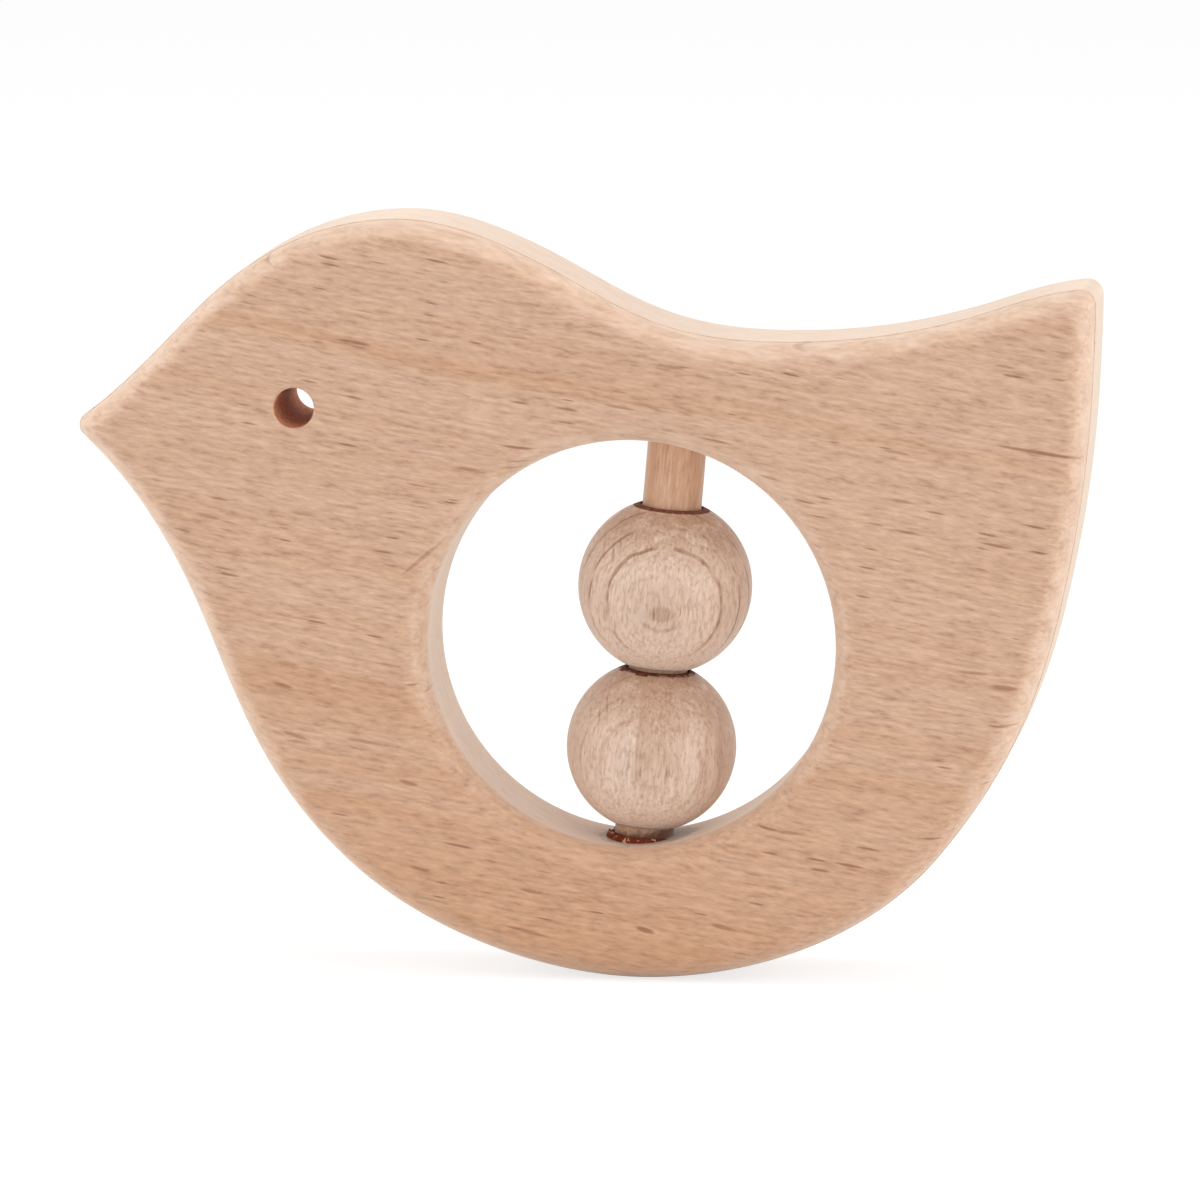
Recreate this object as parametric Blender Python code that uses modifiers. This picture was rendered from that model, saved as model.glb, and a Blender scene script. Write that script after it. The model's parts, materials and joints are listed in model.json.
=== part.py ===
"""Wooden baby rattle: a bird sawn from one beech board, with two beads loose on a dowel across its grip hole.

Run it with blender --background --python part.py, or from Blender's text editor.
Units are metres and +Z is up. The bird looks to -X, and its front face looks to -Y.
"""

import math
from collections import namedtuple

import bmesh
import bpy
from mathutils import Vector
from mathutils.geometry import interpolate_bezier

# Board
BOARD_THICKNESS = 0.0150
EDGE_RADIUS = 0.0028
BEAK_TIP_RADIUS = 0.0012
TAIL_TIP_RADIUS = 0.0017

# Wood between the rim of the grip hole and the outline, at each point that sets the outline
BEAK_REACH = 0.0390
FOREHEAD_WOOD = 0.0338
CROWN_WOOD = 0.0276
SHOULDER_WOOD = 0.0157
SADDLE_WOOD = 0.0131
TAIL_ROOT_WOOD = 0.0289
TAIL_REACH = 0.0377
RUMP_WOOD = 0.0225
THIGH_WOOD = 0.0165
BELLY_WOOD = 0.0131
BREAST_WOOD = 0.0156
THROAT_WOOD = 0.0214

# Eye, drilled right through
EYE_DIAMETER = 0.0040
EYE_CHAMFER = 0.0003
EYE_WOOD = 0.0181  # between its edge and the rim of the grip hole
EYE_BEARING = 145.1  # degrees from +X towards +Z, seen from the grip hole's centre

# Dowel
DOWEL_DIAMETER = 0.0058
DOWEL_LEAN = 4.8  # degrees, its top towards the tail
DOWEL_OFFSET = 0.0023  # of its axis from the grip hole's centre, towards the tail
DOWEL_SEAT_DEPTH = 0.0060  # of the blind seat above the grip hole
DOWEL_END_CHAMFER = 0.0005
DRILL_POINT_ANGLE = 118.0
SEAT_CLEARANCE = 0.0003

# Beads, each a little longer than wide before the bore cuts its ends off
BEAD_DIAMETER = 0.0171
BEAD_EXTRA_LENGTH = 0.0005
LOWER_BEAD_UNDERSIZE = 0.0004  # both ways, as hand-turned beads differ
BEAD_CLEARANCE = 0.0003  # radial, on the dowel
BEAD_END_WIDTH = 0.0004  # of the flat ring round the bore
BEAD_GAP = 0.0003
BEAD_PLAY = 0.00665  # free length left on the dowel when the beads touch
LOWER_BEAD_REST = 0.0007  # from the lower bead to the wall below it, as it lies in the photograph

# Fineness of the meshes
OUTLINE_STEPS = 10
EDGE_STEPS = 4
HOLE_STEPS = 80
EYE_STEPS = 24
DOWEL_STEPS = 40
BEAD_STEPS = 48
BEAD_ARC_STEPS = 16
CUTTER_OVERSHOOT = 0.0002
WELD_DISTANCE = 0.000001
FLAT_ANGLE = math.radians(0.05)
SHARP_ANGLE = math.radians(40)
MITRE_SPARE = 1.1  # straight run beside a corner, as a multiple of what the rims' mitre takes up

BOARD_COLOR = (0.69, 0.44, 0.29, 1.0)
DOWEL_COLOR = (0.58, 0.33, 0.20, 1.0)
UPPER_BEAD_COLOR = (0.64, 0.45, 0.33, 1.0)
LOWER_BEAD_COLOR = (0.64, 0.44, 0.30, 1.0)
WOOD_ROUGHNESS = 0.6

dowel_radius = DOWEL_DIAMETER / 2
bead_bore = dowel_radius + BEAD_CLEARANCE
bead_end = bead_bore + BEAD_END_WIDTH
lower_bead_diameter = BEAD_DIAMETER - LOWER_BEAD_UNDERSIZE


def half_length_of(bead_diameter):
    """Half the length of a bead once the bore and the flat ring round it have cut its ends off."""
    full_length = bead_diameter + BEAD_EXTRA_LENGTH
    return full_length / 2 * math.sqrt(1 - (2 * bead_end / bead_diameter) ** 2)


upper_half = half_length_of(BEAD_DIAMETER)
lower_half = half_length_of(lower_bead_diameter)

# A bead's end ring meets the hole's round wall on its outer side first, and that sets the hole's size
free_length = 2 * upper_half + BEAD_GAP + 2 * lower_half + BEAD_PLAY
hole_radius = math.hypot(free_length / 2, DOWEL_OFFSET + bead_end)

# Places along the dowel, from the point of its axis that lies nearest the grip hole's centre
lower_bead_place = -free_length / 2 + LOWER_BEAD_REST + lower_half
upper_bead_place = lower_bead_place + lower_half + BEAD_GAP + upper_half
seat_top = math.sqrt(hole_radius**2 - DOWEL_OFFSET**2) + DOWEL_SEAT_DEPTH
below_belly = -(hole_radius + BELLY_WOOD + DOWEL_DIAMETER)

# A point of the outline: its bearing from the grip hole's centre, the wood between rim and edge there, the
# outline's headings into and out of it, and how far its curve handles reach on each side, as shares of the
# way to the points beside it. Angles are in degrees from +X towards +Z.
Anchor = namedtuple("Anchor", "name bearing wood heading_in heading_out share_in share_out")

# Clockwise from the beak
OUTLINE = (
    Anchor("beak", 159.4, BEAK_REACH, 137.0, 36.0, 0.35, 0.38),
    Anchor("forehead", 144.1, FOREHEAD_WOOD, 46.0, 46.0, 0.31, 0.31),
    Anchor("crown", 119.6, CROWN_WOOD, 2.0, 2.0, 0.40, 0.31),
    Anchor("shoulder", 98.6, SHOULDER_WOOD, -29.0, -29.0, 0.36, 0.34),
    Anchor("saddle", 64.6, SADDLE_WOOD, 0.0, 0.0, 0.47, 0.37),
    Anchor("tail_root", 43.2, TAIL_ROOT_WOOD, 19.0, 19.0, 0.32, 0.40),
    Anchor("tail", 38.3, TAIL_REACH, 7.0, -91.0, 0.40, 0.42),
    Anchor("rump", 6.9, RUMP_WOOD, -102.0, -102.0, 0.36, 0.39),
    Anchor("thigh", -34.0, THIGH_WOOD, -129.0, -129.0, 0.35, 0.34),
    Anchor("belly", -88.5, BELLY_WOOD, 180.0, 180.0, 0.34, 0.31),
    Anchor("breast", -141.0, BREAST_WOOD, 138.0, 138.0, 0.33, 0.38),
    Anchor("throat", -179.3, THROAT_WOOD, 111.5, 111.5, 0.37, 0.39),
)
TIP_RADII = {"beak": BEAK_TIP_RADIUS, "tail": TAIL_TIP_RADIUS}


def clear_scene():
    for obj in list(bpy.data.objects):
        bpy.data.objects.remove(obj)


def new_collection(name, hidden=False):
    collection = bpy.data.collections.new(name)
    collection.hide_render = hidden
    bpy.context.scene.collection.children.link(collection)
    return collection


def wood(name, color):
    material = bpy.data.materials.new(name)
    material.use_nodes = True
    shader = material.node_tree.nodes["Principled BSDF"]
    shader.inputs["Base Color"].default_value = color
    shader.inputs["Roughness"].default_value = WOOD_ROUGHNESS
    shader.inputs["Metallic"].default_value = 0.0
    material.diffuse_color = color
    return material


def add_empty(name, collection, parent=None):
    empty = bpy.data.objects.new(name, None)
    empty.empty_display_size = dowel_radius
    empty.parent = parent
    collection.objects.link(empty)
    return empty


def add_mesh(name, mesh, collection, parent):
    obj = bpy.data.objects.new(name, mesh)
    obj.parent = parent
    collection.objects.link(obj)
    return obj


def make_cutter(obj):
    obj.hide_render = True
    obj.display_type = "WIRE"
    return obj


def cut(obj, cutter, operation="DIFFERENCE"):
    boolean = obj.modifiers.new(cutter.name, "BOOLEAN")
    boolean.operation = operation
    boolean.object = cutter


def toward(heading, length):
    """A step of that length in the outline's plane, at that heading in degrees."""
    angle = math.radians(heading)
    return Vector((math.cos(angle), math.sin(angle), 0.0)) * length


def place_of(anchor):
    """An anchor's place in the outline's plane, from the grip hole's centre."""
    return toward(anchor.bearing, hole_radius + anchor.wood)


def corners():
    """Each sharp corner: its place, its bevel's width on each edge, and how far the rims' mitre reaches."""
    found = []
    for anchor in OUTLINE:
        if anchor.name in TIP_RADII:
            half_angle = math.radians(180.0 - (anchor.heading_in - anchor.heading_out)) / 2
            tip_width = TIP_RADII[anchor.name] / math.tan(half_angle)
            mitre = EDGE_RADIUS / math.tan(half_angle)
            found.append((place_of(anchor), tip_width, mitre))
    return found


def leaves_room_for_mitres(point):
    """Whether a point of the outline is a corner itself, or lies clear of the mitres at both corners."""
    for place, _, mitre in corners():
        gap = (point - place).length
        if WELD_DISTANCE < gap < MITRE_SPARE * mitre:
            return False
    return True


def outline_points():
    """The bird's outline from the grip hole's centre, along a Bezier curve from each anchor to the next."""
    points = []
    for start, end in zip(OUTLINE, OUTLINE[1:] + OUTLINE[:1]):
        first, last = place_of(start), place_of(end)
        way = (last - first).length
        leaving = first + toward(start.heading_out, start.share_out * way)
        arriving = last - toward(end.heading_in, end.share_in * way)
        points += interpolate_bezier(first, leaving, arriving, last, OUTLINE_STEPS + 1)[:-1]
    return [point for point in points if leaves_room_for_mitres(point)]


def extruded_outline():
    """The outline as a filled 2D curve, extruded to the board's thickness: its mesh and its placement."""
    points = outline_points()
    curve = bpy.data.curves.new("outline", "CURVE")
    curve.dimensions = "2D"
    curve.fill_mode = "BOTH"
    curve.extrude = BOARD_THICKNESS / 2
    spline = curve.splines.new("POLY")
    spline.points.add(len(points) - 1)
    for place, point in zip(spline.points, points):
        place.co = (*point, 1.0)
    spline.use_cyclic_u = True
    guide = bpy.data.objects.new("outline", curve)
    guide.rotation_euler.x = math.pi / 2
    bpy.context.scene.collection.objects.link(guide)
    bpy.context.view_layer.update()
    graph = bpy.context.evaluated_depsgraph_get()
    mesh = bpy.data.meshes.new_from_object(guide.evaluated_get(graph))
    placement = guide.matrix_world.copy()
    bpy.data.objects.remove(guide)
    return mesh, placement


def weigh_edges(mesh, widest):
    """Weld the caps, make each one face, and give each edge its bevel as a share of the widest one."""
    bm = bmesh.new()
    bm.from_mesh(mesh)
    bmesh.ops.remove_doubles(bm, verts=bm.verts, dist=WELD_DISTANCE)
    bmesh.ops.dissolve_limit(bm, angle_limit=FLAT_ANGLE, verts=bm.verts, edges=bm.edges)
    bmesh.ops.recalc_face_normals(bm, faces=bm.faces)
    weight = bm.edges.layers.float.new("bevel_weight_edge")
    for edge in bm.edges:
        one, other = (vert.co for vert in edge.verts)
        if one.z * other.z > 0:
            edge[weight] = EDGE_RADIUS / widest
            continue
        for place, tip_width, _ in corners():
            if (one.xy - place.xy).length < WELD_DISTANCE:
                edge[weight] = tip_width / widest
    bm.to_mesh(mesh)
    bm.free()


def make_blank(collection, parent):
    """The board before it is drilled: the extruded outline with its rims and its two tips rounded over."""
    mesh, placement = extruded_outline()
    widest = max([EDGE_RADIUS] + [tip_width for _, tip_width, _ in corners()])
    weigh_edges(mesh, widest)
    blank = add_mesh("board_blank", mesh, collection, parent)
    blank.matrix_local = placement
    bevel = blank.modifiers.new("round_over", "BEVEL")
    bevel.limit_method = "WEIGHT"
    bevel.width = widest
    bevel.segments = EDGE_STEPS
    bevel.use_clamp_overlap = False
    return make_cutter(blank)


def turned(name, profile, steps, collection, parent):
    """A solid turned about local Z: its profile runs down the outer side, from axis to axis or in a loop."""
    looped = profile[0] == profile[-1]
    points = profile[:-1] if looped else profile
    edges = [(index, index + 1) for index in range(len(points) - 1)]
    if looped:
        edges.append((len(points) - 1, 0))
    mesh = bpy.data.meshes.new(name)
    mesh.from_pydata([(radius, 0.0, height) for radius, height in points], edges, [])
    obj = add_mesh(name, mesh, collection, parent)
    screw = obj.modifiers.new("turn", "SCREW")
    screw.steps = steps
    screw.render_steps = steps
    screw.use_merge_vertices = True
    screw.merge_threshold = WELD_DISTANCE
    return obj


def hole_profile(radius, mouth):
    """A through hole. Its mouth's points, each a widening and a height, lead from the wall past the face."""
    upper = [(radius + widening, height) for widening, height in reversed(mouth)]
    lower = [(half_width, -height) for half_width, height in reversed(upper)]
    return [(0.0, upper[0][1]), *upper, *lower, (0.0, lower[-1][1])]


def rounded_mouth():
    """A quarter round where the hole meets the board's face, its last step carried on past the face."""
    start = BOARD_THICKNESS / 2 - EDGE_RADIUS
    points = []
    for step in range(EDGE_STEPS + 1):
        angle = math.pi / 2 * step / EDGE_STEPS
        points.append((EDGE_RADIUS * (1 - math.cos(angle)), start + EDGE_RADIUS * math.sin(angle)))
    (before, below), (widening, height) = points[-2:]
    slope = (widening - before) / (height - below)
    points[-1] = (widening + CUTTER_OVERSHOOT * slope, height + CUTTER_OVERSHOOT)
    return points


def chamfered_mouth():
    """A 45 degree chamfer where the hole meets the board's face, carried on past the face."""
    start = BOARD_THICKNESS / 2 - EYE_CHAMFER
    rise = EYE_CHAMFER + CUTTER_OVERSHOOT
    return [(0.0, start), (rise, start + rise)]


def make_grip_hole(collection, parent):
    hole = turned("grip_hole", hole_profile(hole_radius, rounded_mouth()), HOLE_STEPS, collection, parent)
    hole.rotation_euler.x = math.pi / 2
    return make_cutter(hole)


def make_eye_hole(collection, parent):
    radius = EYE_DIAMETER / 2
    eye = turned("eye_hole", hole_profile(radius, chamfered_mouth()), EYE_STEPS, collection, parent)
    place = toward(EYE_BEARING, hole_radius + EYE_WOOD + radius)
    eye.location = (place.x, 0.0, place.y)
    eye.rotation_euler.x = math.pi / 2
    return make_cutter(eye)


def make_dowel_bore(collection, axis):
    """One straight bore: through the belly, and a blind seat with a drill's point above the grip hole."""
    radius = dowel_radius + SEAT_CLEARANCE
    shoulder = seat_top + SEAT_CLEARANCE
    point = shoulder + radius / math.tan(math.radians(DRILL_POINT_ANGLE / 2))
    bottom = below_belly - DOWEL_DIAMETER
    profile = [(0.0, point), (radius, shoulder), (radius, bottom), (0.0, bottom)]
    return make_cutter(turned("dowel_bore", profile, DOWEL_STEPS, collection, axis))


def make_bird_body(collection, blank, cutters):
    """The board: a copy of the blank with its holes cut."""
    body = blank.copy()
    body.data = blank.data.copy()
    body.name = body.data.name = "bird_body"
    body.hide_render = False
    body.display_type = "TEXTURED"
    collection.objects.link(body)
    for cutter in cutters:
        cut(body, cutter)
    body.data.materials.append(wood("board_beech", BOARD_COLOR))
    return body


def make_dowel(collection, axis, blank):
    """A plain dowel, its hidden top end chamfered and its lower end trimmed flush with the belly."""
    profile = [
        (0.0, seat_top),
        (dowel_radius - DOWEL_END_CHAMFER, seat_top),
        (dowel_radius, seat_top - DOWEL_END_CHAMFER),
        (dowel_radius, below_belly),
        (0.0, below_belly),
    ]
    dowel = turned("dowel", profile, DOWEL_STEPS, collection, axis)
    cut(dowel, blank, "INTERSECT")
    dowel.data.materials.append(wood("dowel_beech", DOWEL_COLOR))
    return dowel


def make_bead(name, diameter, place, color, collection, axis):
    """A turned bead with its bore, its origin at its own centre on the dowel's axis."""
    length = diameter + BEAD_EXTRA_LENGTH
    end_angle = math.acos(2 * bead_end / diameter)
    outer = []
    for step in range(BEAD_ARC_STEPS + 1):
        angle = end_angle * (1 - 2 * step / BEAD_ARC_STEPS)
        outer.append((diameter / 2 * math.cos(angle), length / 2 * math.sin(angle)))
    top = outer[0][1]
    profile = [(bead_bore, top), *outer, (bead_bore, -top), (bead_bore, top)]
    bead = turned(name, profile, BEAD_STEPS, collection, axis)
    bead.location.z = place
    bead.data.materials.append(wood(f"{name}_wood", color))
    return bead


def stand_on_base(centre, pieces):
    """Move the whole rattle so that the middle of its box's bottom is the world's origin."""
    bpy.context.view_layer.update()
    graph = bpy.context.evaluated_depsgraph_get()
    points = []
    for piece in pieces:
        solid = piece.evaluated_get(graph)
        points += [solid.matrix_world @ vert.co for vert in solid.to_mesh().vertices]
        solid.to_mesh_clear()
    left, right = min(point.x for point in points), max(point.x for point in points)
    centre.location = (-(left + right) / 2, 0.0, -min(point.z for point in points))
    bpy.context.view_layer.update()


def bake(piece):
    """Turn the piece's modifiers into its mesh, shaded smooth but sharp where a cut or an end has an edge."""
    graph = bpy.context.evaluated_depsgraph_get()
    mesh = bpy.data.meshes.new_from_object(piece.evaluated_get(graph))
    mesh.name = piece.name
    mesh.shade_smooth()
    mesh.set_sharp_from_angle(angle=SHARP_ANGLE)
    piece.modifiers.clear()
    piece.data = mesh
    even = piece.modifiers.new("even_shading", "WEIGHTED_NORMAL")
    even.keep_sharp = True


def build():
    clear_scene()
    parts = new_collection("baby_rattle")
    cutters = new_collection("cutters", hidden=True)

    # Everything is placed from the grip hole's centre, and the beads slide along local Z of the dowel's axis
    centre = add_empty("grip_hole_centre", parts)
    axis = add_empty("dowel_axis", parts, centre)
    lean = math.radians(DOWEL_LEAN)
    axis.location = (DOWEL_OFFSET * math.cos(lean), 0.0, -DOWEL_OFFSET * math.sin(lean))
    axis.rotation_euler.y = lean

    blank = make_blank(cutters, centre)
    holes = (make_grip_hole(cutters, centre), make_eye_hole(cutters, centre), make_dowel_bore(cutters, axis))

    pieces = (
        make_bird_body(parts, blank, holes),
        make_dowel(parts, axis, blank),
        make_bead("upper_bead", BEAD_DIAMETER, upper_bead_place, UPPER_BEAD_COLOR, parts, axis),
        make_bead("lower_bead", lower_bead_diameter, lower_bead_place, LOWER_BEAD_COLOR, parts, axis),
    )
    stand_on_base(centre, pieces)
    for piece in pieces:
        bake(piece)


build()
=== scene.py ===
"""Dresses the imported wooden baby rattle: a sanded beech bird, two beads on a dowel, the stage and the camera.

Lengths are in metres. The bird looks to -X, its front faces -Y and +Z is up.
"""

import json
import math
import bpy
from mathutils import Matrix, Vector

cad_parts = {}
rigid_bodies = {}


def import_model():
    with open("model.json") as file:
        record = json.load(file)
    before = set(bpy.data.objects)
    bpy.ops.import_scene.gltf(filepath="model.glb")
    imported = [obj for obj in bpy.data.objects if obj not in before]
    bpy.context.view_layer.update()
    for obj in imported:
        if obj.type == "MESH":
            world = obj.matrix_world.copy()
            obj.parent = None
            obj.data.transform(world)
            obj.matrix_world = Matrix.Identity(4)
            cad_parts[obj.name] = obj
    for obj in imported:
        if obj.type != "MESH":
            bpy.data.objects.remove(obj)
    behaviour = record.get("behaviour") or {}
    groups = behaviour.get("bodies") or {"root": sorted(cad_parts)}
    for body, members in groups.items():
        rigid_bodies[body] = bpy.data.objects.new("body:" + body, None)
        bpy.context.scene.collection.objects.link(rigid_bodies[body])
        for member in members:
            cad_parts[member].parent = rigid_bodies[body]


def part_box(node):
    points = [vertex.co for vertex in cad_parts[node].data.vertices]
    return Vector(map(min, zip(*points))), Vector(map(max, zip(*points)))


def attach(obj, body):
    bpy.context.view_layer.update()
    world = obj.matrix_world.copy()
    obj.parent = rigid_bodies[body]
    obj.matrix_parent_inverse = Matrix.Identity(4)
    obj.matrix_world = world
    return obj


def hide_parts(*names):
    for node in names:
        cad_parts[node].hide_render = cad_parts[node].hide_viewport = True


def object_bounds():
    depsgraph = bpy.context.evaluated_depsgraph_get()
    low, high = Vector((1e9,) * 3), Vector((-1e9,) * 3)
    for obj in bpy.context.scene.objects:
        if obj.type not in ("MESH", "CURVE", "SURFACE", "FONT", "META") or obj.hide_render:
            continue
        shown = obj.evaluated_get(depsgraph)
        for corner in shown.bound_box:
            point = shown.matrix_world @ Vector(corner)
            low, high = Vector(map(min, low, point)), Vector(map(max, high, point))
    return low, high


bl_info = {
    "name": "Wooden Baby Rattle",
    "version": (1, 0, 0),
    "blender": (4, 5, 0),
    "location": "3D Viewport > Sidebar > Rattle",
    "description": "Models the rattle's board, dowel and beads round the packed frame, and sets the stage",
    "category": "Object",
}

from collections import namedtuple
from contextlib import contextmanager

import bmesh
import bpy
from bpy.props import FloatProperty, FloatVectorProperty, PointerProperty
from bpy.types import Operator, Panel, PropertyGroup
from mathutils import Matrix, Vector, noise
from mathutils.bvhtree import BVHTree

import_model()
cad_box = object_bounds()

MM = 0.001

# Places and sizes that the frame gives
BOARD_LOW, BOARD_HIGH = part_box("bird_body")
UPPER_LOW, UPPER_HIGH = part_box("upper_bead")
LOWER_LOW, LOWER_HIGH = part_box("lower_bead")
UPPER_CENTRE = (UPPER_LOW + UPPER_HIGH) / 2
LOWER_CENTRE = (LOWER_LOW + LOWER_HIGH) / 2
UPPER_DIAMETER = UPPER_HIGH.y - UPPER_LOW.y
LOWER_DIAMETER = LOWER_HIGH.y - LOWER_LOW.y
THICKNESS = BOARD_HIGH.y - BOARD_LOW.y
DOWEL_AXIS = (UPPER_CENTRE - LOWER_CENTRE).normalized()
DOWEL_LEAN = math.atan2(DOWEL_AXIS.x, DOWEL_AXIS.z)
DOWEL_RADIUS = (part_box("dowel")[1].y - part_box("dowel")[0].y) / 2

# The board's own places, as its solid has them
SEAT_TOP = 59.0 * MM
FRONT_MIDDLE = Vector((1.93, -7.5, 37.86)) * MM
HOLE_CENTRE = Vector((4.686, 0.0, 33.19)) * MM
HOLE_RADIUS = 20.10 * MM
EYE_CENTRE = Vector((-28.286, 0.0, 56.192)) * MM
EYE_RADIUS = 2.0 * MM

# The outline's control points: where each lies in X and Z, the headings in degrees from +X towards +Z with
# which the outline comes in and goes out, and how far the curve's handles reach, all lengths in millimetres
Knot = namedtuple("Knot", "name x z heading_in heading_out reach_in reach_out")
OUTLINE = (
    Knot("beak", -50.64, 53.99, 137.0, 36.0, 8.89, 6.04),
    Knot("forehead", -38.98, 64.80, 46.0, 46.0, 4.93, 6.94),
    Knot("crown", -18.88, 74.65, 2.0, 2.0, 8.96, 5.95),
    Knot("shoulder", -0.67, 68.59, -29.0, -29.0, 6.91, 6.91),
    Knot("saddle", 18.93, 63.18, 0.0, 0.0, 9.55, 8.06),
    Knot("tail_root", 40.41, 66.73, 19.0, 19.0, 6.97, 3.96),
    Knot("tail", 50.045, 69.01, 7.0, -91.0, 3.96, 12.96),
    Knot("rump", 46.98, 38.31, -102.0, -102.0, 11.11, 11.01),
    Knot("thigh", 35.03, 12.72, -129.0, -129.0, 9.88, 10.92),
    Knot("belly", 5.55, 0.00, 180.0, 180.0, 10.92, 9.47),
    Knot("breast", -23.06, 10.72, 138.0, 138.0, 10.08, 9.85),
    Knot("throat", -36.81, 32.68, 111.5, 111.5, 9.59, 9.90),
)
TIP_RADII = {"beak": 1.2 * MM, "tail": 1.7 * MM}

# How finely the curves are divided
OUTLINE_STEPS = 40
HOLE_STEPS = 192
EYE_STEPS = 64
ROD_STEPS = 64
BURR_STEPS = 96
ROUND_STEPS = 10
BEAD_SEGMENTS = 128
BEAD_RINGS = 96

# How far a cutter stands past the board, and where a rod that runs out through the belly starts
PAST = 0.2 * MM
UNDER_BELLY = -5.0 * MM

# The dowel's room in its bore and at its upper end, and how wide the router's shoulder is seen from the side
BORE_SLACK = 0.04 * MM
END_GAP = 0.1 * MM
SHOULDER_EDGE = 0.03 * MM

# Points nearer than WELD are one, and faces nearer than TOUCH are on one surface. Round a tip the outline has
# no points as far as the rims' mitre reaches times MITRE_SPARE.
WELD = 0.001 * MM
TOUCH = 0.01 * MM
MITRE_SPARE = 1.1

# Edges that turn by more degrees than these stay sharp
WOOD_CREASE = 32.0
BEAD_CREASE = 35.0

# The turns that lay a cylinder through the board and along the dowel
THROUGH_BOARD = (math.pi / 2, 0, 0)
ALONG_DOWEL = (0, DOWEL_LEAN, 0)


# Modelling


def only(obj):
    """Make an object the active one and the only one selected."""
    if bpy.context.mode != "OBJECT":
        bpy.ops.object.mode_set(mode="OBJECT")
    for other in bpy.context.view_layer.objects:
        other.select_set(False)
    obj.select_set(True)
    bpy.context.view_layer.objects.active = obj


@contextmanager
def editing(obj):
    """Edit mode on one object, for the length of a with block."""
    only(obj)
    bpy.ops.object.mode_set(mode="EDIT")
    yield
    bpy.ops.object.mode_set(mode="OBJECT")


def pick(obj, kind, test):
    """In edit mode, select the vertices, edges or faces that pass a test, and nothing else."""
    bpy.ops.mesh.select_mode(type=kind)
    bpy.ops.mesh.select_all(action="DESELECT")
    mesh = bmesh.from_edit_mesh(obj.data)
    for part in {"VERT": mesh.verts, "EDGE": mesh.edges, "FACE": mesh.faces}[kind]:
        if test(part):
            part.select_set(True)
    mesh.select_flush_mode()
    bmesh.update_edit_mesh(obj.data)


def place_into_mesh(obj):
    """Leave an object at the origin, with its place, turn and scale in its mesh."""
    only(obj)
    bpy.ops.object.transform_apply(location=True, rotation=True, scale=True)


def apply_modifier(obj, kind, **settings):
    """Add a modifier with these settings and apply it."""
    only(obj)
    modifier = obj.modifiers.new(kind.lower(), kind)
    for name, setting in settings.items():
        setattr(modifier, name, setting)
    bpy.ops.object.modifier_apply(modifier=modifier.name)


def drill(obj, cutter, operation="DIFFERENCE"):
    """Cut a closed mesh out of an object and throw the cutter away."""
    apply_modifier(obj, "BOOLEAN", operation=operation, object=cutter, solver="EXACT")
    bpy.data.objects.remove(cutter)


def heading(angle, length):
    """A vector of this length, turned from +X by this many degrees."""
    angle = math.radians(angle)
    return Vector((math.cos(angle), math.sin(angle), 0.0)) * length


def tip_places(round_over):
    """Each sharp tip of the outline: its place, the width that rounds it and how far its mitre reaches."""
    tips = []
    for knot in OUTLINE:
        if knot.name in TIP_RADII:
            half = math.radians(180.0 - (knot.heading_in - knot.heading_out)) / 2
            place = Vector((knot.x * MM, 0.0, knot.z * MM))
            tips.append((place, TIP_RADII[knot.name] / math.tan(half), round_over / math.tan(half)))
    return tips


def flat_gap(point, place):
    """The distance between two points as seen from the front."""
    return math.hypot(point.x - place.x, point.z - place.z)


def draw_outline():
    """Draw the bird with a Bezier curve of twelve points and turn the curve into a loop of edges."""
    bpy.ops.curve.primitive_bezier_circle_add(radius=40 * MM, rotation=THROUGH_BOARD, enter_editmode=True)
    bpy.ops.curve.subdivide(number_cuts=len(OUTLINE) // 4 - 1)
    bpy.ops.object.mode_set(mode="OBJECT")
    outline = bpy.context.object
    for point, knot in zip(outline.data.splines[0].bezier_points, OUTLINE):
        place = Vector((knot.x, knot.z, 0.0)) * MM
        point.handle_left_type = point.handle_right_type = "FREE"
        point.co = place
        point.handle_left = place - heading(knot.heading_in, knot.reach_in * MM)
        point.handle_right = place + heading(knot.heading_out, knot.reach_out * MM)
    outline.data.resolution_u = OUTLINE_STEPS
    bpy.ops.object.convert(target="MESH")
    place_into_mesh(outline)
    return outline


def saw_board(looks):
    """Fill the outline and extrude it to the board's thickness."""
    board = draw_outline()
    tips = tip_places(looks.round_over)

    def crowds_a_tip(vert):
        return any(WELD < flat_gap(vert.co, place) < MITRE_SPARE * mitre for place, _, mitre in tips)

    with editing(board):
        bpy.ops.mesh.select_all(action="SELECT")
        bpy.ops.mesh.remove_doubles(threshold=WELD)
        pick(board, "VERT", crowds_a_tip)
        bpy.ops.mesh.dissolve_verts()
        bpy.ops.mesh.select_all(action="SELECT")
        bpy.ops.transform.translate(value=(0, -THICKNESS / 2, 0))
        bpy.ops.mesh.edge_face_add()
        bpy.ops.mesh.extrude_region_move(TRANSFORM_OT_translate={"value": (0, THICKNESS, 0)})
        bpy.ops.mesh.select_all(action="SELECT")
        bpy.ops.mesh.normals_make_consistent(inside=False)
    return board


def rout_rims(board, looks):
    """Round over both rims and the two tips, each edge's bevel weight its share of the widest bevel."""
    tips = tip_places(looks.round_over)
    widest = max([looks.round_over] + [width for _, width, _ in tips])
    weights = board.data.attributes.new("bevel_weight_edge", "FLOAT", "EDGE")
    for edge in board.data.edges:
        one, other = (board.data.vertices[index].co for index in edge.vertices)
        if one.y * other.y > 0:
            weights.data[edge.index].value = looks.round_over / widest
            continue
        for place, width, _ in tips:
            if flat_gap(one, place) < WELD:
                weights.data[edge.index].value = width / widest
    apply_modifier(
        board, "BEVEL", limit_method="WEIGHT", width=widest, segments=ROUND_STEPS, use_clamp_overlap=False
    )


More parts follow.
